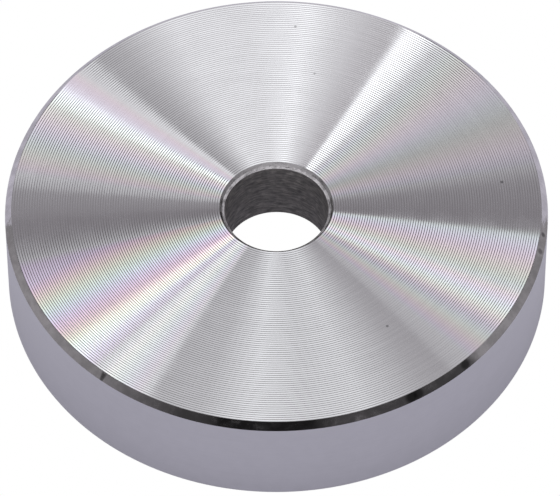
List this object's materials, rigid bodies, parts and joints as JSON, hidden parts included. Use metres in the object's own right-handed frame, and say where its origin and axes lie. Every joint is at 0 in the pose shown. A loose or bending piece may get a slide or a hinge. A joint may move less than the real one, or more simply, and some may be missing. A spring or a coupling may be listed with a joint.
{
  "type": "record centre adapter",
  "caption": "Solid turned-aluminium centre adapter for small records: a thick bevelled disc with a spindle bore and a recessed underside.",
  "frame": {"origin": "on the axis of the disc, at the plane of its foot", "axes": "+Z along the axis of the spindle bore, up through the top face; X and Y are free, because the disc is a turned part"},
  "size_m": [0.038, 0.038, 0.008],
  "materials": {
    "turned_aluminium": "bare metal: fine facing feed marks on the top face, bright burnished bevels, satin rim and coarse bored walls"
  },
  "bodies": {
    "root": {"adapter_disc": "turned_aluminium"}
  },
  "joints": []
}
